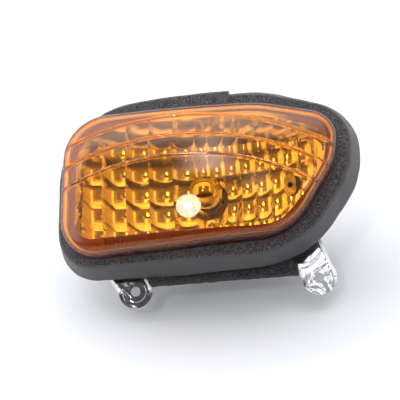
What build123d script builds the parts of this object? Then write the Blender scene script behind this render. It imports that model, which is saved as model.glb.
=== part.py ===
"""Fairing-mounted motorcycle turn signal: an amber lens cap bonded to a metallised
reflector housing with two screw ears, a foam gasket round the lens and a bayonet bulb
in a twist-in holder at the back.

X runs to the right as the rider in front sees the lamp, Z is up, the lens faces -Y.
The origin is the middle point between the two ear screw holes, on the mounting face.
All sizes are millimetres.
"""
from build123d import *
from math import cos, hypot, radians, sin, sqrt, tan
import os

# Mounting ears
hole_spacing = 100.0
hole_diameter = 5.4
ear_thickness = 3.0
ear_tip_radius = 9.25
ear_root_width = 24.0
ear_lean = 9.0
ear_root_height = 19.0
ear_plate_height = 46.0
ear_rib_thickness = 1.8
ear_rib_height = 4.5
ear_tip_lip = 1.4
screw_pad_radius = 5.6

# Lamp face: corners of the lens where it leaves the gasket, as (x, z, corner radius)
lens_corners = [
    (-86.0, 16.5, 20.0),
    (-25.0, 15.6, 150.0),
    (37.0, 17.5, 34.0),
    (63.0, 56.0, 34.0),
    (66.0, 80.0, 15.0),
    (25.0, 90.0, 60.0),
    (-81.0, 94.5, 24.0),
]
rim_stand_off = 32.0
rim_sweep_radius = 300.0
rim_sweep_x = 10.0
smallest_corner = 1.5
join = 1.0

# Lens cap
lens_wall = 2.6
lens_draft = 3.0
lens_crown = 16.5
lens_height_radius = 170.0
lens_middle_z = 55.0
lens_edge_radius = 7.5
lens_skirt = 10.0
lens_fit = 0.25
ridge_centre = (-25.0, -91.0)
ridge_radii = [154.0, 165.0, 176.0]
ridge_width = 1.8
ridge_height = 0.6
ridge_stop = 4.0

# Gaskets: at each lens corner the strip's width in front, what it widens by towards
# its back, and the radius of its outer corner in front
gasket_corners = [
    (4.4, 3.5, 22.0),
    (5.0, 6.0, 150.0),
    (8.5, 3.0, 52.0),
    (8.0, 7.5, 45.0),
    (7.7, 5.0, 22.0),
    (8.3, 7.5, 60.0),
    (6.6, 1.6, 41.0),
]
gasket_depth = 15.0
gasket_margin = 5.0
lap_x = 9.0
lap_length = 71.0
lap_ramp = 30.0
lap_rise = 2.3
lap_shoulder_share = 0.8
lap_slant = 2.5
lap_root = 3.0
strip_height = 15.0
strip_depth = 10.0
strip_bottom_z = 2.0
strip_gap = 0.3

# Reflector housing
sealant_gap = 1.0
spigot_height = 12.5
spigot_rib_start_x = -62.0
spigot_rib_count = 36
spigot_rib_pitch = 2.4
spigot_rib_width = 1.1
spigot_rib_height = 0.6
spigot_rib_top_z = 40.0
flange_thickness = 3.5
opening_corners = [
    (-80.5, 26.4, 12.0),
    (31.0, 24.6, 16.0),
    (58.5, 53.6, 30.0),
    (60.2, 75.0, 12.0),
    (24.0, 84.8, 55.0),
    (-77.0, 89.2, 20.0),
]
opening_draft = 4.0
housing_wall = 2.4
bowl_x = -14.0
bowl_floor = 12.0
bowl_sweep_radius = 120.0
bowl_height_radius = 150.0
back_height_radius = 220.0
facet_left_count = 6
facet_left_pitch = 14.0
facet_middle_pitch = 8.0
facet_middle_arc = 3.7
facet_right_count = 7
facet_right_pitch = 9.4
facet_rows = 6
facet_pitch_z = 13.4
facet_middle_z = 49.2
facet_roundness = 1.25
facet_hollow = 1.2
facet_relief = 2.9
web_bottom_z = 8.0
web_overlap = 12.0
gusset_thickness = 1.8
gusset_count = 6
gusset_reach = 13.0
gusset_step = 1.5

# Bulb and its axis
bulb_x = -8.0
bulb_z = 52.0
globe_radius = 9.3
globe_y = -7.0
globe_end_angle = 42.0
glass_wall = 0.8
neck_radius = 7.2
neck_start_y = 4.0
neck_end_y = 13.0
cap_radius = 7.5
cap_start_y = 11.0
cap_end_y = 28.6
insulator_end_y = 30.0
insulator_thickness = 3.0
contact_pip_radius = 2.4
contact_pip_height = 1.2
pin_radius = 1.0
pin_length = 1.2
pin_y = 22.0
contact_pip_taper = 0.8
insulator_land = 1.0
stem_length = 13.0
stem_radius = 1.8
stem_flare_edge = 1.0
lead_radius = 0.35
lead_spread = 3.4
lead_length = 7.5
lead_bends = (0.2, 0.6)
lead_bend_radius = 1.0
filament_radius = 0.5
filament_arch = 1.25

# Bulb holder
boss_radius = 14.5
boss_end_y = 24.0
boss_length = 22.0
reflector_hole_radius = 11.5
holder_fit = 0.3
holder_nose_y = 15.0
seal_thickness = 1.5
holder_flange_radius = 16.0
holder_flange_thickness = 3.0
holder_body_radius = 12.0
wing_length = 15.5
wing_thickness = 3.0
wing_height = 8.0
sleeve_clearance = 0.15
sleeve_wall = 0.45
sleeve_start_y = 14.0
slot_width = 2.6
pin_way_depth = 3.0
pin_clearance = 0.4
carrier_thickness = 1.6
rivet_head_radius = 2.2
rivet_head_height = 1.2
rivet_shank_radius = 1.25
rivet_tail_radius = 4.0
rivet_tail_height = 0.6
spring_height = 2.8
spring_radius = 3.0
spring_wire = 0.3
spring_turns = 2.5
foot_thickness = 0.6
foot_border = 0.8
holder_floor = 3.0
shroud_length = 13.0
shroud_width = 21.0
shroud_height = 14.4
shroud_wall = 1.8
blade_width = 6.3
blade_thickness = 0.8
blade_length = 9.0
blade_gap = 1.1

# Breather
breather_x = 39.0
breather_z = 53.0
breather_pad_width = 6.5
breather_pad_length = 11.5
breather_pad_height = 1.4
nozzle_radius = 3.2
nozzle_bore = 1.5
nozzle_length = 12.0
nozzle_root = 3.5
elbow_wall = 1.8
elbow_grip = 7.0
elbow_drop = 9.0
elbow_bend_radius = 7.0
elbow_bend_ease = 0.5
elbow_step = 0.6
filter_length = 4.0
filter_recess = 0.5

rim_y = -rim_stand_off
sweep_axis_y = rim_y + rim_sweep_radius
tall = 400.0
barrel_half_height = 70.0
front_limit_y = -75.0


def rim_depth(x):
    """Depth of the gasket's front face at a place along the swept rim."""
    return sweep_axis_y - sqrt(rim_sweep_radius**2 - (x - rim_sweep_x) ** 2)


def grown(corners, push):
    """Corners of a rounded outline moved outwards, with one push for all of its edges
    or one push for each corner."""
    if not isinstance(push, list):
        push = [push] * len(corners)
    moved = []
    for i, (x, z, radius) in enumerate(corners):
        before = corners[i - 1]
        after = corners[(i + 1) % len(corners)]
        arrive = (x - before[0], z - before[1])
        leave = (after[0] - x, after[1] - z)
        n1 = (arrive[1] / hypot(*arrive), -arrive[0] / hypot(*arrive))
        n2 = (leave[1] / hypot(*leave), -leave[0] / hypot(*leave))
        share = push[i] / (1 + n1[0] * n2[0] + n1[1] * n2[1])
        new_x = x + share * (n1[0] + n2[0])
        new_z = z + share * (n1[1] + n2[1])
        moved.append((new_x, new_z, max(radius + push[i], smallest_corner)))
    return moved


def rounded(corners, y):
    """Face with rounded corners on the plane at depth y."""
    places = [(x, z) for x, z, _ in corners]
    radii = [radius for _, _, radius in corners]
    wire = FilletPolyline(*places, radius=radii, close=True)
    return Plane.XZ.offset(-y) * make_face(wire)


def drafted(corners, push_at_rim, draft, back_y=30.0):
    """Block of a rounded outline; a positive draft narrows it forwards."""
    push = push_at_rim + tan(radians(draft)) * (back_y - rim_y)
    face = rounded(grown(corners, push), back_y)
    return extrude(face, amount=back_y - front_limit_y, taper=draft)


def lens_prism(inset):
    return drafted(lens_corners, -inset, lens_draft)


def behind_rim(depth):
    """Everything that lies deeper than a surface parallel to the swept rim."""
    place = Pos(rim_sweep_x, sweep_axis_y, lens_middle_z)
    return place * Cylinder(rim_sweep_radius - depth, tall)


def rim_slab(start, end):
    return behind_rim(start) - behind_rim(end)


def barrel(axis_x, axis_y, radius, height_radius, middle_z):
    """Barrel on a vertical axis: round in plan and bowed up and down."""
    drop = height_radius - sqrt(height_radius**2 - barrel_half_height**2)
    low = (radius - drop, -barrel_half_height)
    high = (radius - drop, barrel_half_height)
    side = ThreePointArc(low, (radius, 0), high)
    rest = Polyline(high, (0, barrel_half_height), (0, -barrel_half_height), low)
    profile = Plane.XZ * make_face(side + rest)
    return Pos(axis_x, axis_y, middle_z) * revolve(profile, Axis.Z)


def lens_block(inset):
    """Outer or inner form of the lens: drafted sides, crowned front, rounded edge."""
    front = barrel(
        rim_sweep_x,
        sweep_axis_y,
        rim_sweep_radius + lens_crown - inset,
        lens_height_radius - inset,
        lens_middle_z,
    )
    cap = lens_prism(inset) & front
    crowned = cap.faces().sort_by(Axis.Y)[0]
    return fillet(crowned.edges(), lens_edge_radius - inset)


def on_bulb_axis(shape):
    return Pos(bulb_x, 0, bulb_z) * shape


def turned(*points):
    """Body of revolution on the bulb axis from (radius, y) points."""
    profile = make_face(Polyline(*points, points[0]))
    return on_bulb_axis(revolve(profile, Axis.Y))


def post(x, z, radius, start_y, end_y):
    """Round bar that points backwards, between two depths."""
    middle = Pos(x, (start_y + end_y) / 2, z)
    return middle * Rot(90, 0, 0) * Cylinder(radius, end_y - start_y)


def rod(radius, start_y, end_y):
    return post(bulb_x, bulb_z, radius, start_y, end_y)


def ring(inner, outer, start_y, end_y):
    return turned((inner, start_y), (outer, start_y), (outer, end_y), (inner, end_y))


def block(x0, x1, y0, y1, z0, z1):
    middle = Pos((x0 + x1) / 2, (y0 + y1) / 2, (z0 + z1) / 2)
    return middle * Box(x1 - x0, y1 - y0, z1 - z0)


# Lens and gaskets
def make_lens():
    shell = lens_block(0) - lens_block(lens_wall)
    return shell - behind_rim(lens_skirt) + lens_ridges()


def lens_ridges():
    """Raised optic ridges inside the crown, in arcs about one centre."""
    layer = lens_block(lens_wall) - lens_block(lens_wall + ridge_height)
    layer = layer - behind_rim(-ridge_stop)
    arcs = Sketch()
    for radius in ridge_radii:
        arcs += Circle(radius + ridge_width / 2) - Circle(radius - ridge_width / 2)
    arcs = Plane.XZ * (Pos(*ridge_centre) * arcs)
    return layer & extrude(arcs, amount=tall / 2)


def gasket_section(y):
    """Outline of the flared gasket where a plane of constant depth meets it."""
    corners = []
    for (x, z, _), (width, flare, radius) in zip(lens_corners, gasket_corners):
        corners.append((x, z, radius - width))
    push = []
    for (x, _, _), (width, flare, _) in zip(lens_corners, gasket_corners):
        push.append(width + flare * (y - rim_depth(x)) / gasket_depth)
    return rounded(grown(corners, push), y)


def lap_section(y):
    """Raised end of the strip on top, where it laps over its own start."""
    left_x, left_z, _ = lens_corners[-1]
    right_x, right_z, _ = lens_corners[-2]

    def top_z(x):
        share = (x - left_x) / (right_x - left_x)
        edge = left_z + (right_z - left_z) * share
        width = gasket_corners[-1][0] * (1 - share) + gasket_corners[-2][0] * share
        flare = gasket_corners[-1][1] * (1 - share) + gasket_corners[-2][1] * share
        return edge + width + flare * (y - rim_depth(x)) / gasket_depth

    start = lap_x - lap_length
    shoulder = start + lap_ramp
    corners = [
        (start, top_z(start) - lap_root),
        (start, top_z(start)),
        (shoulder, top_z(shoulder) + lap_rise * lap_shoulder_share),
        (lap_x, top_z(lap_x) + lap_rise),
        (lap_x - lap_slant, top_z(lap_x) - lap_root),
    ]
    return Plane.XZ.offset(-y) * make_face(Polyline(*corners, corners[0]))


def make_rim_gasket():
    front_y = rim_y - join
    back_y = rim_depth(lens_corners[0][0]) + gasket_depth + gasket_margin
    flared = loft([gasket_section(front_y), gasket_section(back_y)], ruled=True)
    lap = loft([lap_section(front_y), lap_section(back_y)], ruled=True)
    return ((flared + lap) & rim_slab(0, gasket_depth)) - lens_prism(0)


def make_lower_strip():
    """Foam block on the web, cut to clear the ears and the gasket's back."""
    half = hole_spacing / 2
    top = strip_bottom_z + strip_height
    front = -ear_thickness - strip_depth
    strip = block(-half, half, front, -ear_thickness, strip_bottom_z, top)
    for side in (-1, 1):
        outline = Plane.XZ * ear_outline(side * half, strip_gap)
        strip = strip - extrude(outline, amount=tall / 2)
    strip = strip & behind_rim(gasket_depth + strip_gap)
    return strip.solids().sort_by(SortBy.VOLUME)[-1]


def make_sealant():
    bead = rim_slab(lens_skirt, lens_skirt + sealant_gap)
    return bead & (lens_prism(0) - lens_prism(lens_wall + lens_fit))


# Reflector housing
def bowl(offset, height_radius):
    """Smooth swept bowl, moved towards the back by the offset."""
    return barrel(
        bowl_x,
        bowl_floor - bowl_sweep_radius,
        bowl_sweep_radius + offset,
        height_radius + offset,
        bulb_z,
    )


def height_drop(z):
    """How much nearer the bowl is to its axis at a height than at the bulb's."""
    return bowl_height_radius - sqrt(bowl_height_radius**2 - (z - bulb_z) ** 2)


def bowl_depth(x, z):
    """Depth of the smooth bowl's surface."""
    reach = bowl_sweep_radius - height_drop(z)
    return bowl_floor - bowl_sweep_radius + sqrt(reach**2 - (x - bowl_x) ** 2)


def facet_column(arc, width):
    """One column of hollow mirror facets: scallops up the bowl, turned about an
    upright axis in front of them, so that each facet is hollow both ways."""
    radius = facet_roundness * width
    low_z = facet_middle_z - facet_rows * facet_pitch_z / 2
    heights = [low_z + row * facet_pitch_z for row in range(facet_rows + 1)]
    edges = [(radius - facet_hollow - height_drop(z), z) for z in heights]
    profile = Polyline(edges[0], (0, heights[0]), (0, heights[-1]), edges[-1])
    for low, high in zip(edges, edges[1:]):
        middle = ((low[0] + high[0]) / 2 + facet_hollow, (low[1] + high[1]) / 2)
        profile = profile + ThreePointArc(low, middle, high)
    column = revolve(Plane.XZ * make_face(profile), Axis.Z)
    angle = arc / bowl_sweep_radius
    reach = bowl_sweep_radius - radius
    axis_y = bowl_floor - bowl_sweep_radius + reach * cos(angle)
    return Pos(bowl_x + reach * sin(angle), axis_y, 0) * column


def facet_places():
    """Middle of each facet column along the bowl, with the column's width."""
    places = [(facet_middle_arc, facet_middle_pitch)]
    left_end = facet_middle_arc - facet_middle_pitch / 2
    for i in range(facet_left_count):
        places.append((left_end - (i + 0.5) * facet_left_pitch, facet_left_pitch))
    right_end = facet_middle_arc + facet_middle_pitch / 2
    for i in range(facet_right_count):
        places.append((right_end + (i + 0.5) * facet_right_pitch, facet_right_pitch))
    return places


def reflector_cavity():
    """Bowl in front of the mirror, with its floor cut into rows and columns of facets."""
    opening = drafted(opening_corners, 0, -opening_draft, back_y=bowl_floor + 2)
    columns = [facet_column(arc, width) for arc, width in facet_places()]
    cavity = opening & (bowl(-facet_relief, bowl_height_radius) + columns)
    return cavity - breather_pad()


def breather_pad():
    """Slot-shaped pad that stands in the bowl round the breather's bore."""
    front_y = bowl_depth(breather_x, breather_z) - facet_relief - breather_pad_height
    outline = SlotOverall(breather_pad_length, breather_pad_width, rotation=90)
    place = Plane.XZ.offset(-bowl_floor) * Pos(breather_x, breather_z)
    return extrude(place * outline, amount=bowl_floor - front_y)


def ear_outline(hole_x, grow):
    """Tongue from the housing down to a round tip about the screw hole."""
    root_x = hole_x - ear_lean
    half_root = ear_root_width / 2 + grow
    tip = ear_tip_radius + grow
    top = ear_plate_height
    stretch = top / ear_root_height
    left_top = hole_x - tip + (root_x - half_root - hole_x + tip) * stretch
    right_top = hole_x + tip + (root_x + half_root - hole_x - tip) * stretch
    tongue = make_face(
        Polyline(
            (left_top, top),
            (hole_x - tip, 0),
            (hole_x + tip, 0),
            (right_top, top),
            (left_top, top),
        )
    )
    return tongue + Pos(hole_x, 0) * Circle(tip)


def make_ear(hole_x):
    """Ear plate with a forward rib along each side and a low lip round its tip."""
    outline = ear_outline(hole_x, 0)
    plate = extrude(Plane.XZ * outline, amount=ear_thickness)
    border = outline - ear_outline(hole_x, -ear_rib_thickness)
    above_tip = Pos(hole_x, tall / 4) * Rectangle(tall, tall / 2)
    front = Plane.XZ.offset(ear_thickness)
    ribs = extrude(front * (border & above_tip), amount=ear_rib_height)
    lip = extrude(front * border, amount=ear_tip_lip)
    pad = post(hole_x, 0, screw_pad_radius, -ear_thickness - ear_tip_lip, -ear_thickness)
    ear = (plate + ribs + lip + pad) & behind_rim(gasket_depth + strip_gap)
    return ear - post(hole_x, 0, hole_diameter / 2, -tall, tall)


def body_solid():
    """Outer form of the housing behind its flange."""
    sides = drafted(opening_corners, housing_wall, -opening_draft)
    back = bowl(housing_wall, back_height_radius)
    return sides & back & behind_rim(lens_skirt + sealant_gap + join)


def make_spigot():
    """Wall that stands inside the lens skirt, with fine ribs on the lower part of its front."""
    end = lens_skirt + sealant_gap + join
    start = lens_skirt + sealant_gap - spigot_height
    wall = rim_slab(start, end)
    bars = Sketch()
    for i in range(spigot_rib_count):
        x = spigot_rib_start_x + i * spigot_rib_pitch
        bars += Pos(x, spigot_rib_top_z / 2) * Rectangle(spigot_rib_width, spigot_rib_top_z)
    ribs = extrude(Plane.XZ * bars, amount=tall / 2)
    wall = wall + (rim_slab(start - spigot_rib_height, start) & ribs)
    return wall & lens_block(lens_wall + lens_fit)


def make_gussets():
    """Ribs from the bulb boss down to the back of the bowl."""
    inside = boss_radius - join
    foot = boss_radius + gusset_reach
    gussets = []
    for i in range(gusset_count):
        profile = Polyline(
            (inside, boss_end_y - gusset_step),
            (inside, 0),
            (foot + gusset_reach / 2, 0),
            (foot, bowl_floor),
            (inside, boss_end_y - gusset_step),
        )
        plate = extrude(make_face(profile), amount=gusset_thickness / 2, both=True)
        gussets.append(on_bulb_axis(Rot(0, 360 * (i + 0.5) / gusset_count, 0) * plate))
    return gussets


def make_housing():
    flange_start = lens_skirt + sealant_gap
    flange = rim_slab(flange_start, flange_start + flange_thickness) & lens_prism(0)
    housing = make_spigot() + flange + body_solid()
    boss_start_y = boss_end_y - boss_length
    boss = ring(reflector_hole_radius - join, boss_radius, boss_start_y, boss_end_y)
    housing = housing + boss
    housing = housing + make_gussets()
    left = -hole_spacing / 2 - ear_lean / 2
    right = hole_spacing / 2 - ear_lean
    web_top = ear_root_height + web_overlap
    web = block(left, right, -ear_thickness, 0, web_bottom_z, web_top)
    housing = housing + web
    for side in (-1, 1):
        housing = housing + make_ear(side * hole_spacing / 2)
    housing = housing + nozzle(nozzle_radius, 0) - reflector_cavity()
    housing = housing - rod(reflector_hole_radius, rim_y, boss_end_y + join)
    return housing - nozzle(nozzle_bore, facet_relief + 2 * breather_pad_height)


def breather_depth():
    """Depth of the housing's back where the breather nozzle stands on it."""
    return housing_wall + bowl_depth(breather_x, breather_z)


def nozzle(radius, extra):
    start = breather_depth() - nozzle_root
    end = breather_depth() + nozzle_length
    return post(breather_x, breather_z, radius, start - extra, end + extra)


def make_breather_elbow():
    tip = breather_depth() + nozzle_length
    bend_y = tip + elbow_bend_radius
    outer = nozzle_radius + elbow_wall
    bore = nozzle_radius - elbow_step
    path = FilletPolyline(
        (breather_x, tip, breather_z),
        (breather_x, bend_y, breather_z),
        (breather_x, bend_y, breather_z - elbow_bend_radius - elbow_drop),
        radius=elbow_bend_radius - elbow_bend_ease,
    )
    start = Plane(origin=(breather_x, tip, breather_z), z_dir=(0, 1, 0))
    tube = sweep(start * Circle(outer), path=path)
    tube = tube - sweep(start * Circle(bore), path=path)
    grip = post(breather_x, breather_z, outer, tip - elbow_grip, tip)
    return tube + grip - post(breather_x, breather_z, nozzle_radius, tip - elbow_grip, tip)


def make_breather_filter():
    bottom = breather_z - elbow_bend_radius - elbow_drop
    y = breather_depth() + nozzle_length + elbow_bend_radius
    place = Pos(breather_x, y, bottom + filter_length / 2 + filter_recess)
    return place * Cylinder(nozzle_radius - elbow_step, filter_length)


# Bulb
def glass_form(inset):
    """Globe and neck of the bulb envelope as a solid of revolution."""
    radius = globe_radius - inset
    end = radians(globe_end_angle)
    tip = (0, globe_y - radius)
    side = (radius * cos(-end), globe_y + radius * sin(-end))
    shoulder = (radius * cos(end), globe_y + radius * sin(end))
    neck = neck_radius - inset
    edges = (
        ThreePointArc(tip, side, shoulder)
        + Line(shoulder, (neck, neck_start_y))
        + Polyline((neck, neck_start_y), (neck, neck_end_y), (0, neck_end_y), tip)
    )
    return on_bulb_axis(revolve(make_face(edges), Axis.Y))


def make_bulb():
    inner_neck = neck_radius - glass_wall
    stem_start = neck_end_y - stem_length
    mouth = rod(inner_neck, neck_start_y + join, neck_end_y + join)
    glass = glass_form(0) - glass_form(glass_wall) - mouth
    stem = turned(
        (0, stem_start),
        (stem_radius, stem_start),
        (stem_radius, stem_start + stem_length / 2),
        (inner_neck, neck_end_y - stem_flare_edge),
        (inner_neck, neck_end_y),
        (0, neck_end_y),
    )
    cap = ring(neck_radius, cap_radius, cap_start_y, cap_end_y)
    insulator = turned(
        (0, insulator_end_y - insulator_thickness),
        (neck_radius, insulator_end_y - insulator_thickness),
        (neck_radius, cap_end_y),
        (contact_pip_radius + insulator_land, insulator_end_y),
        (0, insulator_end_y),
    )
    pip = turned(
        (0, insulator_end_y),
        (contact_pip_radius, insulator_end_y),
        (contact_pip_radius * contact_pip_taper, insulator_end_y + contact_pip_height),
        (0, insulator_end_y + contact_pip_height),
    )
    across = Rot(0, 90, 0) * Cylinder(pin_radius, 2 * (cap_radius + pin_length))
    pins = Pos(bulb_x, pin_y, bulb_z) * across - rod(cap_radius, cap_start_y, cap_end_y)
    tip_y = stem_start - lead_length
    leads = []
    for side in (-1, 1):
        path = FilletPolyline(
            (side * stem_radius / 2, stem_start, 0),
            (side * stem_radius / 2, stem_start - lead_length * lead_bends[0], 0),
            (side * lead_spread, stem_start - lead_length * lead_bends[1], 0),
            (side * lead_spread, tip_y, 0),
            radius=lead_bend_radius,
        )
        start = Plane(origin=path @ 0, z_dir=path % 0)
        leads.append(on_bulb_axis(sweep(start * Circle(lead_radius), path=path)))
    filament_path = ThreePointArc(
        (-lead_spread - lead_radius, tip_y - filament_radius, 0),
        (0, tip_y - filament_arch, 0),
        (lead_spread + lead_radius, tip_y - filament_radius, 0),
    )
    start = Plane(origin=filament_path @ 0, z_dir=filament_path % 0)
    filament = sweep(start * Circle(filament_radius), path=filament_path)
    behind_leads = Pos(0, tip_y + lead_length / 2, 0) * Box(tall, lead_length, tall)
    filament = on_bulb_axis(filament - behind_leads)
    return {
        "bulb_glass": glass,
        "bulb_stem": stem,
        "bulb_lead_wires": leads,
        "bulb_filament": filament,
        "bulb_cap": cap,
        "bulb_cap_pins": pins,
        "bulb_insulator": insulator,
        "bulb_contact": pip,
    }


# Bulb holder
def make_holder():
    pip_y = insulator_end_y + contact_pip_height
    carrier_y = pip_y + rivet_head_height
    tail_y = carrier_y + carrier_thickness
    spring_y = tail_y + rivet_tail_height
    foot_y = spring_y + spring_height
    floor_y = foot_y + foot_thickness
    base_y = floor_y + holder_floor
    end_y = base_y + shroud_length
    sleeve_inner = cap_radius + sleeve_clearance
    sleeve_outer = sleeve_inner + sleeve_wall
    pin_room = cap_radius + pin_length + holder_fit
    flange_y = boss_end_y + seal_thickness
    nose = rod(reflector_hole_radius - holder_fit, holder_nose_y, flange_y)
    flange = rod(
        holder_flange_radius, flange_y, flange_y + holder_flange_thickness
    )
    wings = block(
        bulb_x - wing_length,
        bulb_x + wing_length,
        flange_y,
        flange_y + holder_flange_thickness + wing_height,
        bulb_z - wing_thickness / 2,
        bulb_z + wing_thickness / 2,
    )
    body = nose + flange + rod(holder_body_radius, flange_y, base_y) + wings
    shroud = block(
        bulb_x - shroud_width / 2,
        bulb_x + shroud_width / 2,
        base_y - join,
        end_y,
        bulb_z - shroud_height / 2,
        bulb_z + shroud_height / 2,
    )
    socket = block(
        bulb_x - shroud_width / 2 + shroud_wall,
        bulb_x + shroud_width / 2 - shroud_wall,
        base_y,
        end_y + join,
        bulb_z - shroud_height / 2 + shroud_wall,
        bulb_z + shroud_height / 2 - shroud_wall,
    )
    body = body + shroud - socket
    body = body - rod(sleeve_outer, holder_nose_y - join, floor_y)
    pin_way = block(
        bulb_x - pin_room,
        bulb_x + pin_room,
        holder_nose_y - join,
        pin_y + pin_way_depth,
        bulb_z - slot_width / 2,
        bulb_z + slot_width / 2,
    )
    body = body - pin_way

    sleeve = ring(sleeve_inner, sleeve_outer, sleeve_start_y, floor_y)
    slot = block(
        bulb_x - pin_room,
        bulb_x + pin_room,
        sleeve_start_y - join,
        pin_y + pin_radius + pin_clearance,
        bulb_z - slot_width / 2,
        bulb_z + slot_width / 2,
    )
    sleeve = sleeve - slot

    carrier = ring(
        rivet_shank_radius, sleeve_inner - sleeve_clearance, carrier_y, tail_y
    )
    rivet = turned(
        (0, pip_y),
        (rivet_head_radius, pip_y),
        (rivet_head_radius, carrier_y),
        (rivet_shank_radius, carrier_y),
        (rivet_shank_radius, tail_y),
        (rivet_tail_radius, tail_y),
        (rivet_tail_radius, spring_y),
        (0, spring_y),
    )
    pitch = (spring_height - 2 * spring_wire) / spring_turns
    coil = Helix(pitch=pitch, height=pitch * spring_turns, radius=spring_radius)
    start = Plane(origin=coil @ 0, z_dir=coil % 0)
    wire = sweep(start * Circle(spring_wire), path=coil, is_frenet=True)
    spring = Pos(bulb_x, spring_y + spring_wire, bulb_z) * Rot(-90, 0, 0) * wire

    live_left = bulb_x - blade_gap / 2 - blade_width
    live_right = bulb_x - blade_gap / 2
    earth_left = bulb_x + sleeve_outer - blade_width
    earth_right = bulb_x + sleeve_outer
    blade_low = bulb_z - blade_thickness / 2
    blade_high = bulb_z + blade_thickness / 2
    live = block(
        live_left, live_right, floor_y, base_y + blade_length, blade_low, blade_high
    )
    live = live + block(
        bulb_x - spring_radius - foot_border,
        bulb_x + spring_radius + foot_border,
        foot_y,
        floor_y,
        bulb_z - spring_radius - foot_border,
        bulb_z + spring_radius + foot_border,
    )
    earth = block(
        earth_left, earth_right, floor_y, base_y + blade_length, blade_low, blade_high
    )
    for blade in (live, earth):
        body = body - blade
    return {
        "holder_body": body,
        "holder_sleeve": sleeve,
        "holder_seal": ring(
            reflector_hole_radius, boss_radius - holder_fit, boss_end_y, flange_y
        ),
        "contact_carrier": carrier,
        "centre_contact": rivet,
        "contact_spring": spring,
        "live_terminal": live,
        "earth_terminal": earth,
    }


def make_parts():
    parts = {
        "lens": make_lens(),
        "reflector_housing": make_housing(),
        "lens_sealant": make_sealant(),
        "rim_gasket": make_rim_gasket(),
        "lower_foam_strip": make_lower_strip(),
        "breather_elbow": make_breather_elbow(),
        "breather_filter": make_breather_filter(),
    }
    parts.update(make_bulb())
    parts.update(make_holder())
    return parts


def write_parts(parts):
    os.makedirs("parts", exist_ok=True)
    for name, shape in parts.items():
        if isinstance(shape, list):
            shape = Compound(children=shape)
        export_step(shape, f"parts/{name}.step")


write_parts(make_parts())
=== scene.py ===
import bmesh
import bpy
import math
from mathutils import Matrix, Vector, noise


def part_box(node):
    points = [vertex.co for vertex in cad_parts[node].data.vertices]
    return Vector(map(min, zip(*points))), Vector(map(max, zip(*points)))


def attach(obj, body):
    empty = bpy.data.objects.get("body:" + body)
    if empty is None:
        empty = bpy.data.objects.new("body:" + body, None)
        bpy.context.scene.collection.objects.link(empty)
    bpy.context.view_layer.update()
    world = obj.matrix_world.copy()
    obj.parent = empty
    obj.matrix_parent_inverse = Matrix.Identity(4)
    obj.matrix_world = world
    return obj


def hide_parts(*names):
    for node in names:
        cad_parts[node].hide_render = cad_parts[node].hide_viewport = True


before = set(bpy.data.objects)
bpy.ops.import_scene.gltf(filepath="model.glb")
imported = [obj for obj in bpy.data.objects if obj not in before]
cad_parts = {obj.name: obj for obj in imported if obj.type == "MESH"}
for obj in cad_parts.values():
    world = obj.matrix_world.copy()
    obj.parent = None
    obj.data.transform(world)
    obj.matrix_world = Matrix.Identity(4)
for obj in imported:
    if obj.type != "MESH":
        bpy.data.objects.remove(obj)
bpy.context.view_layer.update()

MM = 0.001

# Camera of the photograph, about the lamp's face
CAMERA_TARGET = Vector((-9.18, -32.0, 40.93)) * MM
CAMERA_DISTANCE = 437.3 * MM
CAMERA_AZIMUTH = math.radians(5.0)
CAMERA_ELEVATION = math.radians(-16.0)
CAMERA_ROLL = math.radians(-3.53)
CAMERA_LENS = 75.0

# The lens where it leaves the gasket: corners as (x, z, corner radius) in millimetres
LENS_CORNERS = (
    (-86.0, 16.5, 20.0),
    (-25.0, 15.6, 150.0),
    (37.0, 17.5, 34.0),
    (63.0, 56.0, 34.0),
    (66.0, 80.0, 15.0),
    (25.0, 90.0, 60.0),
    (-81.0, 94.5, 24.0),
)
LENS_DRAFT = math.tan(math.radians(3.0))

# The gasket at the same corners: width in front, what it widens by towards its back,
# and the radius of its outer corner in front, in millimetres like all that follows
GASKET_CORNERS = (
    (4.4, 3.5, 22.0),
    (5.0, 6.0, 150.0),
    (8.5, 3.0, 52.0),
    (8.0, 7.5, 45.0),
    (7.7, 5.0, 22.0),
    (8.3, 7.5, 60.0),
    (6.6, 1.6, 41.0),
)
GASKET_DEPTH = 15.0
GASKET_EDGE = 1.0  # radius of its outer edge in front
GASKET_LIFT = 0.15  # the cut face stands this far back, to make room for its waves
LENS_GAP = 0.12
STATION_STEP = 0.8

# The lapped end of the gasket on top: where it stops, how long it is, how long it takes to
# climb to its shoulder, how far its end stands proud, and the shoulder's share of that
LAP_X = 9.0
LAP_LENGTH = 71.0
LAP_RAMP = 30.0
LAP_RISE = 2.3
LAP_SHOULDER = 0.8
LAP_FLOOR_Z = 60.0  # the lower half of the ring has no lap

# The gasket's front face is swept about an upright axis
RIM_Y = -32.0
SWEEP_RADIUS = 300.0
SWEEP_X = 10.0
SWEEP_Y = RIM_Y + SWEEP_RADIUS

# Arcs moulded into the lens: common centre, radii, strengths, and width of each
RIDGE_CENTRE = (-25.0, -91.0)
RIDGE_RADII = (154.0, 165.0, 176.0)
RIDGE_SHARES = (0.35, 1.0, 1.0)
RIDGE_WIDTH = 1.8

# The bulb's axis runs along Y
BULB_X = -8.0
BULB_Z = 52.0

# The lower foam strip: how far each end leans sideways for every millimetre up, the radius
# of its edges, its distance from the gasket, and how many steps it has along its length
STRIP_LEFT_LEAN = -0.33
STRIP_RIGHT_LEAN = -0.62
STRIP_EDGE = 1.0
STRIP_GAP = 0.4
STRIP_COLUMNS = 90
STRIP_CAP = 0.4  # size of the smaller ring inside each end face

# The lamp lies on the low back corner of its plug socket: a point of the table as (y, z),
# and how much the table's depth grows with height
TABLE_POINT = (54.6, 44.8)
TABLE_SLOPE = 0.8
TABLE_SIZE = 4000.0

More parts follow.
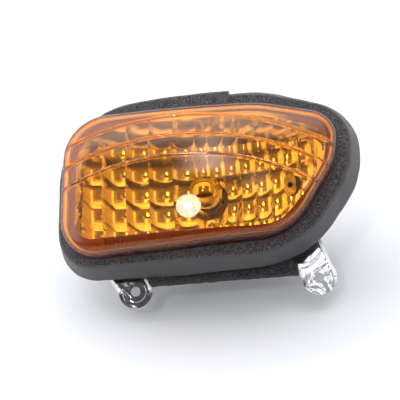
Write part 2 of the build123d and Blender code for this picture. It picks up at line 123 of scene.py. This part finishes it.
# Light tent: level at the horizon, what is added overhead, share left below, and the plain
# level that the camera sees behind the lamp
WORLD_BASE = 0.66
WORLD_TOP = 0.6
WORLD_BELOW = 0.12
WORLD_SEEN = 0.95
# Panels of the tent: middle and half width in azimuth, lowest and highest elevation,
# softness of the edge, all in degrees, and brightness
WORLD_PANELS = (
    (-10.0, 31.0, -8.0, 28.0, 14.0, 0.35),
    (-78.0, 30.0, -15.0, 45.0, 10.0, 2.6),
    (72.0, 30.0, -15.0, 45.0, 10.0, 1.1),
    (-16.0, 56.0, 30.0, 80.0, 9.0, 3.4),
    (-48.0, 4.0, -8.0, 40.0, 4.0, 3.4),
    (36.0, 3.5, -8.0, 40.0, 4.0, 3.4),
    (-8.5, 4.5, 15.0, 27.0, 12.0, 7.0),
    (-10.0, 4.5, 4.0, 15.0, 4.0, 0.06),
    (3.5, 3.0, 5.0, 14.0, 3.0, 1.25),
)

# Key lamp far in front on the left, with a hotter core: place, aim, size, and watts
KEY_LAMPS = (
    ("key", (-504, -1987, 104), (-14, -49, 38), (230, 350), 3.0),
    ("key_core", (-500, -1970, 100), (-14, -49, 38), (70, 90), 3.0),
)

# Metals: the nodes, the finish's name, its colour, its stains and its roughness
METALS = (
    (
        ("bulb_lead_wires", "bulb_cap", "bulb_cap_pins", "holder_sleeve"),
        "nickel", (0.72, 0.70, 0.66), (0.45, 0.43, 0.40), 0.16,
    ),
    (
        ("live_terminal", "earth_terminal", "centre_contact"),
        "brass", (0.80, 0.62, 0.30), (0.50, 0.36, 0.17), 0.2,
    ),
    (("contact_spring",), "spring_steel", (0.55, 0.56, 0.58), (0.35, 0.35, 0.36), 0.25),
    (("bulb_filament",), "tungsten", (0.34, 0.34, 0.36), (0.2, 0.2, 0.22), 0.3),
    (("bulb_contact",), "solder", (0.60, 0.61, 0.62), (0.42, 0.43, 0.44), 0.3),
)
# Plastics and rubbers: the nodes, the name, its colour, its scuffs, its roughness and grain
PLASTICS = (
    (("bulb_insulator",), "vitrite", (0.02, 0.015, 0.03), (0.05, 0.04, 0.06), 0.2, 0.4),
    (("holder_body",), "holder_plastic", (0.30, 0.30, 0.29), (0.42, 0.42, 0.41), 0.45, 0.4),
    (("contact_carrier",), "carrier_board", (0.2, 0.1, 0.045), (0.3, 0.18, 0.1), 0.6, 0.4),
    (
        ("holder_seal", "breather_elbow"),
        "black_rubber", (0.022, 0.022, 0.022), (0.07, 0.068, 0.065), 0.6, 0.7,
    ),
    (("lens_sealant",), "sealant", (0.03, 0.03, 0.03), (0.06, 0.06, 0.06), 0.35, 0.2),
)


# Shapes
def rim_y(x):
    """Depth of the gasket's front face."""
    return SWEEP_Y - math.sqrt(SWEEP_RADIUS**2 - (x - SWEEP_X) ** 2)


def corner_sides(corners, i):
    """A corner's place, and the outward directions of the edges before and after it."""
    here = Vector(corners[i][:2])
    arrive = (here - Vector(corners[i - 1][:2])).normalized()
    leave = (Vector(corners[(i + 1) % len(corners)][:2]) - here).normalized()
    return here, Vector((arrive.y, -arrive.x)), Vector((leave.y, -leave.x))


def grown(corners, pushes):
    """Corners moved outwards, each edge by the push that holds at its corner."""
    moved = []
    for i, push in enumerate(pushes):
        here, out_1, out_2 = corner_sides(corners, i)
        place = here + push * (out_1 + out_2) / (1 + out_1.dot(out_2))
        moved.append((place.x, place.y, corners[i][2] + push))
    return moved


def rounded_outline(corners, step):
    """Points about a step apart round a rounded outline, each with its outward direction."""
    arcs = []
    for i, (_, _, radius) in enumerate(corners):
        here, out_1, out_2 = corner_sides(corners, i)
        middle = here - radius * (out_1 + out_2) / (1 + out_1.dot(out_2))
        arcs.append((middle, radius, out_1, out_2))
    points = []
    for i, (middle, radius, out_1, out_2) in enumerate(arcs):
        before, before_radius, _, _ = arcs[i - 1]
        start = before + before_radius * out_1
        end = middle + radius * out_1
        count = max(1, round((end - start).length / step))
        for k in range(count):
            points.append((start.lerp(end, k / count), out_1))
        angle = out_1.angle(out_2)
        count = max(1, round(radius * angle / step))
        for k in range(count):
            out = Matrix.Rotation(angle * k / count, 2) @ out_1
            points.append((middle + radius * out, out))
    return points


def reach(place, out, outline):
    """How far it is from a place, along a direction, to an outline around it."""
    side = Vector((-out.y, out.x))
    best = 0.0
    for i, (end, _) in enumerate(outline):
        start = outline[i - 1][0]
        a = (start - place).dot(side)
        b = (end - place).dot(side)
        if a * b <= 0 and a != b:
            meet = start.lerp(end, a / (a - b)) - place
            best = max(best, meet.dot(out))
    return best


def sheet(columns, rows, place):
    """Mesh of a grid whose every point is set by its column and row."""
    mesh = bmesh.new()
    bmesh.ops.create_grid(mesh, x_segments=columns, y_segments=rows, size=0.5)
    for vert in mesh.verts:
        column = round((vert.co.x + 0.5) * columns)
        row = round((vert.co.y + 0.5) * rows)
        vert.co = Vector(place(column, row)) * MM
    return mesh


def close_seams(mesh):
    """Joins edges that meet, fills open ends and turns every face outwards."""
    bmesh.ops.remove_doubles(mesh, verts=mesh.verts, dist=0.00001)
    bmesh.ops.holes_fill(mesh, edges=mesh.edges, sides=0)
    bmesh.ops.recalc_face_normals(mesh, faces=mesh.faces)


def add_piece(name, mesh, material, body="root"):
    """Turns a finished bmesh into a smooth-shaded piece of the lamp."""
    data = bpy.data.meshes.new(name)
    mesh.to_mesh(data)
    mesh.free()
    data.shade_smooth()
    data.materials.append(material)
    piece = bpy.data.objects.new(name, data)
    bpy.context.collection.objects.link(piece)
    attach(piece, body)
    return piece


# Foam
def lap_height(x, z):
    """How far the lapped end of the strip stands proud of the strip under it."""
    start = LAP_X - LAP_LENGTH
    shoulder = start + LAP_RAMP
    if z < LAP_FLOOR_Z or x < start or x > LAP_X:
        return 0.0
    if x < shoulder:
        return LAP_RISE * LAP_SHOULDER * (x - start) / LAP_RAMP
    along = (x - shoulder) / (LAP_X - shoulder)
    return LAP_RISE * (LAP_SHOULDER + (1 - LAP_SHOULDER) * along)


def foam_wobble(place, amount, size):
    """Uneven offset of a cut foam surface, up to about the amount, in waves of this size."""
    return amount * noise.noise(Vector(place) / size)


def gasket_stations():
    """Lens outline points with the gasket's width there in front and at the back."""
    lens = rounded_outline(LENS_CORNERS, STATION_STEP)
    bases = []
    for (x, z, _), (width, _, radius) in zip(LENS_CORNERS, GASKET_CORNERS):
        bases.append((x, z, radius - width))
    fronts = [width for width, _, _ in GASKET_CORNERS]
    backs = [width + flare for width, flare, _ in GASKET_CORNERS]
    front = rounded_outline(grown(bases, fronts), STATION_STEP)
    back = rounded_outline(grown(bases, backs), STATION_STEP)
    stations = []
    for place, out in lens:
        stations.append((place, out, reach(place, out, front), reach(place, out, back)))
    return stations


def gasket_profile():
    """Points round the gasket's section, as the part of it and how far along that part."""
    profile = [("front", i / 12) for i in range(13)]
    profile += [("bend", i / 4) for i in range(1, 4)]
    profile += [("side", i / 12) for i in range(13)]
    profile += [("back", i / 5) for i in range(1, 5)]
    profile += [("inside", i / 6) for i in range(7)]
    return profile


def add_rim_gasket(material):
    """Foam strip round the lens: a closed ring of rounded sections, with the lap on top."""
    stations = gasket_stations()
    profile = gasket_profile()

    def section(part, along, width, back_width):
        """Distance out from the lens and depth behind the front face."""
        if part == "front":
            return along * (width - GASKET_EDGE), 0.0
        if part == "bend":
            turn = along * math.pi / 2
            across = width - GASKET_EDGE + GASKET_EDGE * math.sin(turn)
            return across, GASKET_EDGE * (1 - math.cos(turn))
        if part == "side":
            depth = GASKET_EDGE + along * (GASKET_DEPTH - GASKET_EDGE)
            return width + (back_width - width) * depth / GASKET_DEPTH, depth
        if part == "back":
            return back_width * (1 - along), GASKET_DEPTH
        return 0.0, GASKET_DEPTH * (1 - along)

    def place(column, row):
        here, out, width, back_width = stations[column % len(stations)]
        part, along = profile[row % len(profile)]
        across, depth = section(part, along, width, back_width)
        if part in ("front", "bend", "side"):
            across += lap_height(here.x, here.y) * min(1.0, across / width)
        if part == "front":
            across = max(across, LENS_GAP)
        if part in ("back", "inside"):
            across += LENS_GAP + LENS_DRAFT * depth
        spot = here + out * across
        y = rim_y(spot.x) + depth
        if part in ("front", "bend"):
            y += GASKET_LIFT + foam_wobble((spot.x, 0, spot.y), amount=0.28, size=1.1)
            y += foam_wobble((spot.x, 5, spot.y), amount=0.25, size=6.0)
        if part == "side":
            spot += out * foam_wobble((spot.x, y, spot.y), amount=0.2, size=7.0)
        return spot.x, y, spot.y

    mesh = sheet(len(stations), len(profile), place)
    close_seams(mesh)
    gasket = add_piece("foam_rim_gasket", mesh, material)
    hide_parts("rim_gasket")


def add_lower_strip(material):
    """Straight foam strip under the housing, cut to the lean of the ears."""
    low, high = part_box("lower_foam_strip")
    low, high = Vector(low) / MM, Vector(high) / MM
    middle = (low + high) / 2
    section = []
    for y, z, start in (
        (low.y + STRIP_EDGE, low.z + STRIP_EDGE, math.pi),
        (high.y - STRIP_EDGE, low.z + STRIP_EDGE, -math.pi / 2),
        (high.y - STRIP_EDGE, high.z - STRIP_EDGE, 0.0),
        (low.y + STRIP_EDGE, high.z - STRIP_EDGE, math.pi / 2),
    ):
        for i in range(4):
            turn = start + i * math.pi / 6
            section.append((y + STRIP_EDGE * math.cos(turn), z + STRIP_EDGE * math.sin(turn)))
    left = low.x + (low.z - high.z) * STRIP_LEFT_LEAN

    def place(column, row):
        y, z = section[row % len(section)]
        along = min(max((column - 1) / (STRIP_COLUMNS - 2), 0.0), 1.0)
        start = left + STRIP_LEFT_LEAN * (z - low.z)
        end = high.x + STRIP_RIGHT_LEAN * (z - low.z)
        x = start + (end - start) * along
        y = max(y, rim_y(x) + GASKET_DEPTH + STRIP_GAP)
        if column in (0, STRIP_COLUMNS):
            return x, middle.y + STRIP_CAP * (y - middle.y), middle.z + STRIP_CAP * (z - middle.z)
        if y < high.y - STRIP_EDGE:
            y += foam_wobble((x, y, z), amount=0.25, size=3.0)
        z += foam_wobble((x, y + 9, z), amount=0.3, size=4.0)
        return x, y, z

    mesh = sheet(STRIP_COLUMNS, len(section), place)
    close_seams(mesh)
    strip = add_piece("foam_lower_strip", mesh, material)
    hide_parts("lower_foam_strip")


# Materials
def new_material(name):
    """Node material with a Principled BSDF; returns it with its tree and shader."""
    material = bpy.data.materials.new(name)
    material.use_nodes = True
    tree = material.node_tree
    return material, tree, tree.nodes["Principled BSDF"]


def feed(tree, socket, value):
    """Sets a socket to a plain value, or links it to another node's output."""
    if isinstance(value, bpy.types.NodeSocket):
        tree.links.new(value, socket)
    else:
        socket.default_value = value


def add_node(tree, kind, settings=None, **values):
    """Node with its settings and its inputs: i0, i1 and so on by number, others by name."""
    made = tree.nodes.new(kind)
    for key, value in (settings or {}).items():
        setattr(made, key, value)
    for key, value in values.items():
        numbered = key[0] == "i" and key[1:].isdigit()
        feed(tree, made.inputs[int(key[1:]) if numbered else key], value)
    return made


def math_node(tree, operation, a, b=0.0):
    return add_node(tree, "ShaderNodeMath", {"operation": operation}, i0=a, i1=b).outputs[0]


def product(tree, a, b):
    return math_node(tree, "MULTIPLY", a, b)


def larger(tree, a, b):
    return math_node(tree, "MAXIMUM", a, b)


def vector_node(tree, operation, *values):
    """Vector maths; the outputs are Vector and Value."""
    node = add_node(tree, "ShaderNodeVectorMath", {"operation": operation})
    for socket, value in zip(node.inputs, values):
        feed(tree, socket, value)
    return node.outputs


def split(tree, vector):
    """The X, Y and Z outputs of a vector."""
    return add_node(tree, "ShaderNodeSeparateXYZ", Vector=vector).outputs


def from_line(tree, place, x, z):
    """Way to a place from the line along Y through x and z, in metres."""
    middle = (-x * MM, 0.0, -z * MM)
    return vector_node(tree, "MULTIPLY_ADD", place, (1.0, 0.0, 1.0), middle)["Vector"]


def add_noise(tree, place, scale, detail, distortion=0.0):
    """Noise as outputs: 0 is its value, Color its three values."""
    return add_node(
        tree,
        "ShaderNodeTexNoise",
        Vector=place,
        Scale=scale,
        Detail=detail,
        Distortion=distortion,
    ).outputs


def bump(tree, height, strength, distance, normal=None):
    """Normal of a relief, laid over another normal where one is given."""
    node = add_node(tree, "ShaderNodeBump", Height=height, Strength=strength, Distance=distance)
    if normal is not None:
        tree.links.new(normal, node.inputs["Normal"])
    return node.outputs[0]


def blend_colors(tree, share, a, b):
    """Colour between two others, each an output or three plain numbers."""
    mix = add_node(tree, "ShaderNodeMix", {"data_type": "RGBA"}, i0=share)
    for socket, color in ((mix.inputs[6], a), (mix.inputs[7], b)):
        feed(tree, socket, (*color, 1.0) if isinstance(color, tuple) else color)
    return mix.outputs[2]


def fade(tree, value, low, high, to_low=0.0, to_high=1.0):
    """Smooth change from one value to another while the input runs from low to high."""
    settings = {"interpolation_type": "SMOOTHSTEP"}
    node = add_node(tree, "ShaderNodeMapRange", settings, Value=value)
    ends = (("From Min", low), ("From Max", high), ("To Min", to_low), ("To Max", to_high))
    for name, end in ends:
        feed(tree, node.inputs[name], end)
    return node.outputs[0]


def between(tree, share, start, end):
    """Value that goes from start to end while the share goes from nought to one."""
    return fade(tree, share, 0.0, 1.0, start, end)


def set_shader(tree, shader, **values):
    """Sets or links inputs of the shader; underscores in names stand for spaces."""
    for key, value in values.items():
        feed(tree, shader.inputs[key.replace("_", " ")], value)


def make_group(name, inputs, outputs):
    """Empty node group with float inputs and typed outputs."""
    group = bpy.data.node_groups.new(name, "ShaderNodeTree")
    for key, value in inputs:
        socket = group.interface.new_socket(key, in_out="INPUT", socket_type="NodeSocketFloat")
        socket.default_value = value
    for key, kind in outputs:
        group.interface.new_socket(key, in_out="OUTPUT", socket_type=kind)
    entry = group.nodes.new("NodeGroupInput")
    leave = group.nodes.new("NodeGroupOutput")
    return group, entry, leave


def make_surface_group():
    """Moulded or handled surface: cloudy tone, smudges, a soft relief and a fine grain."""
    group, entry, leave = make_group(
        "handled_surface",
        [("Size", 1.0), ("Relief", 0.1), ("Grain", 0.1)],
        [
            ("Clouds", "NodeSocketFloat"),
            ("Smudges", "NodeSocketFloat"),
            ("Normal", "NodeSocketVector"),
        ],
    )
    spot = add_node(group, "ShaderNodeTexCoord").outputs["Object"]
    scale = {"operation": "SCALE"}
    inverse = math_node(group, "DIVIDE", 1.0, entry.outputs["Size"])
    place = add_node(group, "ShaderNodeVectorMath", scale, Vector=spot, Scale=inverse).outputs[0]
    ripple = add_noise(group, place, scale=160.0, detail=1.0)[0]
    specks = add_noise(group, place, scale=1400.0, detail=2.0)[0]
    smudges = add_noise(group, place, scale=110.0, detail=4.0, distortion=1.2)[0]
    soft = bump(group, ripple, entry.outputs["Relief"], distance=0.0006)
    found = {
        "Clouds": add_noise(group, place, scale=45.0, detail=3.0)[0],
        "Smudges": fade(group, smudges, 0.45, 0.75),
        "Normal": bump(group, specks, entry.outputs["Grain"], distance=0.0001, normal=soft),
    }
    for name, value in found.items():
        group.links.new(value, leave.inputs[name])
    return group


def use_surface(tree, group, size=1.0, relief=0.1, grain=0.1):
    """The shared surface in one material, as outputs Clouds, Smudges and Normal."""
    user = tree.nodes.new("ShaderNodeGroup")
    user.node_tree = group
    user.inputs["Size"].default_value = size
    user.inputs["Relief"].default_value = relief
    user.inputs["Grain"].default_value = grain
    return user.outputs


def lens_arcs(tree, place):
    """Height of the arcs moulded into the lens."""
    radius = vector_node(tree, "LENGTH", from_line(tree, place, *RIDGE_CENTRE))["Value"]
    height = 0.0
    for arc, share in zip(RIDGE_RADII, RIDGE_SHARES):
        off = math_node(tree, "ABSOLUTE", math_node(tree, "SUBTRACT", radius, arc * MM))
        ridge = fade(tree, off, RIDGE_WIDTH * MM / 2, 0.0, 0.0, share)
        height = math_node(tree, "ADD", height, ridge)
    return height


def amber_plastic(surface):
    """Clear moulded amber: coloured by its thickness, faintly wavy and smudged, with matt
    side walls."""
    material, tree, shader = new_material("amber_lens")
    look = use_surface(tree, surface, size=3.0, relief=0.03, grain=0.0)
    spot = tree.nodes.new("ShaderNodeTexCoord").outputs
    facing = math_node(tree, "ABSOLUTE", split(tree, spot["Normal"])["Y"])
    matt = fade(tree, facing, 0.55, 0.2, 0.0, 0.4)
    smudged = between(tree, look["Smudges"], 0.0, 0.035)
    arcs = lens_arcs(tree, spot["Object"])
    set_shader(
        tree,
        shader,
        Base_Color=blend_colors(tree, look["Clouds"], (1.0, 0.97, 0.93), (1.0, 1.0, 0.98)),
        Roughness=larger(tree, smudged, matt),
        Normal=bump(tree, arcs, strength=1.0, distance=0.0004, normal=look["Normal"]),
        Transmission_Weight=1.0,
        IOR=1.49,
    )
    depth = tree.nodes.new("ShaderNodeVolumeAbsorption")
    depth.inputs["Color"].default_value = (0.97, 0.70, 0.0, 1)
    depth.inputs["Density"].default_value = 680.0
    tree.links.new(depth.outputs[0], tree.nodes["Material Output"].inputs["Volume"])
    return material


def depth_behind_rim(tree, parts):
    """Distance behind the gasket's front face, in metres."""
    across = math_node(tree, "SUBTRACT", parts["X"], SWEEP_X * MM)
    ahead = math_node(tree, "SUBTRACT", parts["Y"], SWEEP_Y * MM)
    across, ahead = (math_node(tree, "POWER", value, 2.0) for value in (across, ahead))
    away = math_node(tree, "SQRT", math_node(tree, "ADD", across, ahead))
    return math_node(tree, "SUBTRACT", SWEEP_RADIUS * MM, away)


def uncoated_and_shaded(tree, spot):
    """Masks of the moulding's outside and of its dark parts: the lens seat all round, which has
    no coating, and painted shade on its front along the lower and right edge."""
    parts = split(tree, spot["Object"])
    depth = depth_behind_rim(tree, parts)
    way = from_line(tree, spot["Object"], BULB_X, BULB_Z)
    outward = vector_node(tree, "DOT_PRODUCT", way, spot["Normal"])["Value"]
    outside = fade(tree, outward, 0.002, 0.006)
    seat = product(tree, outside, fade(tree, depth, 0.0112, 0.0108))
    # The painted shade reaches up to this height: low at the left end, higher towards the right
    left = fade(tree, parts["X"], -0.078, -0.050, 0.026, 0.050)
    top = math_node(tree, "ADD", left, fade(tree, parts["X"], 0.02, 0.06, 0.0, 0.022))
    above = math_node(tree, "SUBTRACT", parts["Z"], top)
    # Painted shade: the front near the rim is darkened along the lower and right edge
    painted_shade = product(tree, fade(tree, depth, 0.0004, 0.0), fade(tree, above, 0.004, -0.004))
    return outside, larger(tree, seat, painted_shade)


def metallised(surface):
    """Vacuum coating: bright on the front, uneven on the ears, and thin overspray on the
    dark moulding behind. Painted shade darkens the front along the lower and right edge."""
    material, tree, shader = new_material("metallised")
    look = use_surface(tree, surface, relief=0.16, grain=0.04)
    spot = tree.nodes.new("ShaderNodeTexCoord").outputs
    place = split(tree, spot["Object"])
    facing = split(tree, spot["Normal"])["Y"]
    ear = fade(tree, place["Z"], 0.03, 0.022)
    crest = product(tree, ear, fade(tree, place["Y"], -0.0050, -0.0058))

    # Faces that look outwards or backwards got overspray only, but the ears' backs more
    outside, bare_and_shaded = uncoated_and_shaded(tree, spot)
    outside = product(tree, outside, fade(tree, facing, -0.35, -0.1))
    back = larger(tree, fade(tree, facing, 0.15, 0.6), outside)
    back = product(tree, back, between(tree, ear, 1.0, fade(tree, facing, 0.5, 0.8)))
    # Matt and dark where only overspray reached, on the seat without coating, and as painted
    # shade on the front's lower and right edge
    dull_and_shaded = larger(tree, back, bare_and_shaded)

    # The ears' film is uneven, most of all on the right one
    swirl = product(tree, ear, fade(tree, place["X"], -0.01, 0.01, 0.5, 1.7))
    waves = add_noise(tree, spot["Object"], scale=55.0, detail=2.0, distortion=1.2)[0]
    relief = product(tree, waves, swirl)

    tone, smudges = look["Clouds"], look["Smudges"]
    bright = blend_colors(tree, tone, (0.88, 0.885, 0.90), (0.97, 0.97, 0.97))
    moulding = blend_colors(tree, tone, (0.055, 0.052, 0.05), (0.12, 0.115, 0.11))
    sprayed = blend_colors(tree, smudges, moulding, (0.15, 0.15, 0.155))
    # Red-brown of the seat without coating, also the colour of the painted shade on the front
    primer_and_painted_shade = blend_colors(tree, tone, (0.20, 0.062, 0.025), (0.30, 0.10, 0.04))
    film = between(tree, crest, between(tree, ear, 0.11, 0.04), 0.5)
    gloss = between(tree, dull_and_shaded, film, 0.42)
    set_shader(
        tree,
        shader,
        Base_Color=blend_colors(tree, dull_and_shaded, bright, blend_colors(tree, bare_and_shaded, sprayed, primer_and_painted_shade)),
        Metallic=between(tree, dull_and_shaded, between(tree, crest, 1.0, 0.3), 0.2),
        Roughness=math_node(tree, "ADD", gloss, between(tree, smudges, 0.0, 0.06)),
        Normal=bump(tree, relief, strength=1.0, distance=0.0006, normal=look["Normal"]),
    )
    return material


def foam(name, tone, skin):
    """Cellular foam: open cells on cut faces, with painted shade in their pits, and smoother
    skin on the sides where it has one.
    """
    material, tree, shader = new_material(name)
    spot = tree.nodes.new("ShaderNodeTexCoord").outputs
    warp = add_noise(tree, spot["Object"], scale=900.0, detail=2.0)["Color"]
    place = vector_node(tree, "MULTIPLY_ADD", warp, (0.0006, 0.0006, 0.0006), spot["Object"])[0]
    cells = add_node(tree, "ShaderNodeTexVoronoi", Vector=place, Scale=1600.0)
    large = add_node(tree, "ShaderNodeTexVoronoi", Vector=place, Scale=950.0)
    # Painted shade: each cell's pit is darker than the walls round it
    pit_shade = fade(tree, cells.outputs["Distance"], 0.1, 0.55)
    hollow_shade = fade(tree, large.outputs["Distance"], 0.05, 0.5, 0.35, 1.0)
    grain = add_noise(tree, spot["Object"], scale=1500.0, detail=2.0)[0]
    worn = fade(tree, grain, 0.42, 0.60, 0.15, 1.3)
    walls = product(tree, product(tree, pit_shade, hollow_shade), worn)
    facing = split(tree, spot["Normal"])["Y"]
    cut = larger(tree, fade(tree, facing, -0.75, -0.95), 1.0 - skin)

    def shade(level):
        return tuple(level * value for value in tone)

    clouds = add_noise(tree, spot["Object"], scale=130.0, detail=3.0)[0]
    # Cut faces: painted shade in the pits, lighter cell walls between
    shaded_cell_color = blend_colors(tree, walls, shade(0.3), shade(2.9))
    skin_color = blend_colors(tree, clouds, shade(0.8), shade(1.35))
    relief = product(tree, walls, between(tree, cut, 0.12, 1.0))
    set_shader(
        tree,
        shader,
        Base_Color=blend_colors(tree, cut, skin_color, shaded_cell_color),
        Roughness=between(tree, cut, 0.48, 0.95),
        Normal=bump(tree, relief, strength=0.9, distance=0.0004),
    )
    return material


def metal(name, surface, color, stained, roughness):
    """Plain metal with clouded gloss and darker stains."""
    material, tree, shader = new_material(name)
    look = use_surface(tree, surface, relief=0.1, grain=0.25)
    set_shader(
        tree,
        shader,
        Base_Color=blend_colors(tree, look["Smudges"], color, stained),
        Metallic=1.0,
        Roughness=fade(tree, look["Clouds"], 0.3, 0.7, roughness, roughness + 0.14),
        Normal=look["Normal"],
    )
    return material


def plastic(name, surface, color, scuffed, roughness, grain):
    """Moulded plastic or rubber with a fine grain and pale scuffs."""
    material, tree, shader = new_material(name)
    look = use_surface(tree, surface, relief=0.12, grain=grain)
    worn = product(tree, look["Smudges"], 0.6)
    set_shader(
        tree,
        shader,
        Base_Color=blend_colors(tree, worn, color, scuffed),
        Roughness=fade(tree, look["Clouds"], 0.3, 0.7, roughness - 0.06, roughness + 0.08),
        Normal=look["Normal"],
    )
    return material


def glass(name, surface, silvering):
    """Drawn glass, clear or with a share of mirror in it."""
    material, tree, shader = new_material(name)
    look = use_surface(tree, surface, size=2.0, relief=0.02, grain=0.0)
    set_shader(
        tree,
        shader,
        Base_Color=blend_colors(tree, look["Clouds"], (0.97, 0.98, 0.98), (1.0, 1.0, 1.0)),
        Roughness=between(tree, look["Smudges"], 0.0, 0.03),
        Normal=look["Normal"],
        Metallic=silvering,
        Transmission_Weight=1.0,
        IOR=1.5,
    )
    return material


def paint(names, material):
    """Gives CAD nodes their finish."""
    for name in names:
        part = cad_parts[name]
        part.data.materials.clear()
        part.data.materials.append(material)


# Studio
def add_camera():
    """Camera at the photograph's viewing angle."""
    azimuth, elevation = CAMERA_AZIMUTH, CAMERA_ELEVATION
    back = Vector((
        math.sin(azimuth) * math.cos(elevation),
        -math.cos(azimuth) * math.cos(elevation),
        math.sin(elevation),
    ))
    level_right = Vector((math.cos(azimuth), math.sin(azimuth), 0.0))
    level_up = back.cross(level_right)
    right = math.cos(CAMERA_ROLL) * level_right + math.sin(CAMERA_ROLL) * level_up
    up = back.cross(right)
    data = bpy.data.cameras.new("camera")
    data.lens = CAMERA_LENS
    data.sensor_width = 36.0
    data.clip_start = 0.01
    camera = bpy.data.objects.new("camera", data)
    bpy.context.collection.objects.link(camera)
    place = CAMERA_TARGET + CAMERA_DISTANCE * back
    turn = Matrix((right, up, back)).transposed().to_4x4()
    camera.matrix_world = Matrix.Translation(place) @ turn
    bpy.context.scene.camera = camera


def add_softbox(name, place, target, size, power):
    """Oval area light between two points, in millimetres like its size."""
    data = bpy.data.lights.new(name, "AREA")
    data.shape = "ELLIPSE"
    data.size = size[0] * MM
    data.size_y = size[1] * MM
    data.energy = power
    light = bpy.data.objects.new(name, data)
    bpy.context.collection.objects.link(light)
    place = Vector(place) * MM
    aim = (Vector(target) * MM - place).to_track_quat("-Z", "Y")
    light.matrix_world = Matrix.Translation(place) @ aim.to_matrix().to_4x4()


def add_table():
    """Pale table that the lamp lies on, seen only from the lamp's side."""
    mesh = bmesh.new()
    bmesh.ops.create_grid(mesh, x_segments=1, y_segments=1, size=TABLE_SIZE * MM / 2)
    tilt = math.pi / 2 - math.atan(TABLE_SLOPE)
    bmesh.ops.rotate(mesh, verts=mesh.verts, matrix=Matrix.Rotation(tilt, 3, "X"))
    bmesh.ops.translate(mesh, verts=mesh.verts, vec=Vector((0, *TABLE_POINT)) * MM)
    data = bpy.data.meshes.new("table")
    mesh.to_mesh(data)
    mesh.free()
    table = bpy.data.objects.new("table", data)
    bpy.context.collection.objects.link(table)

    material, tree, shader = new_material("pale_table")
    set_shader(tree, shader, Base_Color=(0.65, 0.655, 0.665, 1), Roughness=0.9)
    clear = tree.nodes.new("ShaderNodeBsdfTransparent")
    side = tree.nodes.new("ShaderNodeNewGeometry")
    mix = tree.nodes.new("ShaderNodeMixShader")
    tree.links.new(side.outputs["Backfacing"], mix.inputs["Fac"])
    tree.links.new(shader.outputs[0], mix.inputs[1])
    tree.links.new(clear.outputs[0], mix.inputs[2])
    tree.links.new(mix.outputs[0], tree.nodes["Material Output"].inputs["Surface"])
    data.materials.append(material)


def panel_share(tree, turn, height, middle, half, low, high, soft):
    """Mask of one panel of the tent, by azimuth and by the sine of the elevation."""
    off = math_node(tree, "ABSOLUTE", math_node(tree, "SUBTRACT", turn, math.radians(middle)))
    edge = math.radians(soft)
    across = fade(tree, off, math.radians(half) + edge / 2, math.radians(half) - edge / 2)
    low, high = math.sin(math.radians(low)), math.sin(math.radians(high))
    start = fade(tree, height, low - edge / 2, low + edge / 2)
    end = fade(tree, height, high + edge / 2, high - edge / 2)
    return product(tree, across, product(tree, start, end))


def set_world():
    """Light tent: brighter above, dim below, with bright and dark panels, and plain where
    the camera sees it directly."""
    world = bpy.data.worlds.new("studio")
    bpy.context.scene.world = world
    world.use_nodes = True
    tree = world.node_tree
    parts = split(tree, tree.nodes.new("ShaderNodeTexCoord").outputs["Generated"])
    height = parts["Z"]
    turn = math_node(tree, "ARCTAN2", parts["X"], product(tree, parts["Y"], -1.0))
    base = product(tree, fade(tree, height, 0.0, -0.45, 1.0, WORLD_BELOW), WORLD_BASE)
    light = math_node(tree, "ADD", base, fade(tree, height, 0.42, 0.88, 0.0, WORLD_TOP))
    for *shape, value in WORLD_PANELS:
        share = panel_share(tree, turn, height, *shape)
        change = product(tree, share, math_node(tree, "SUBTRACT", value, light))
        light = math_node(tree, "ADD", light, change)
    seen = tree.nodes.new("ShaderNodeLightPath").outputs["Is Camera Ray"]
    background = tree.nodes["Background"]
    background.inputs["Color"].default_value = (0.95, 0.96, 1.0, 1)
    tree.links.new(between(tree, seen, light, WORLD_SEEN), background.inputs["Strength"])


bpy.context.scene.view_settings.view_transform = "Standard"
add_camera()
add_table()
set_world()
for lamp in KEY_LAMPS:
    add_softbox(*lamp)

surface = make_surface_group()
paint(["lens"], amber_plastic(surface))
paint(["reflector_housing"], metallised(surface))
paint(["bulb_glass"], glass("silvered_glass", surface, 0.6))
paint(["bulb_stem"], glass("clear_glass", surface, 0.0))
for nodes, finish, color, stained, roughness in METALS:
    paint(nodes, metal(finish, surface, color, stained, roughness))
for nodes, finish, color, scuffed, roughness, grain in PLASTICS:
    paint(nodes, plastic(finish, surface, color, scuffed, roughness, grain))
paint(["breather_filter"], foam("filter_foam", (0.09, 0.09, 0.1), 0.0))
add_rim_gasket(foam("foam", (0.050, 0.047, 0.0475), 1.0))
add_lower_strip(foam("foam_dark", (0.024, 0.022, 0.023), 0.0))
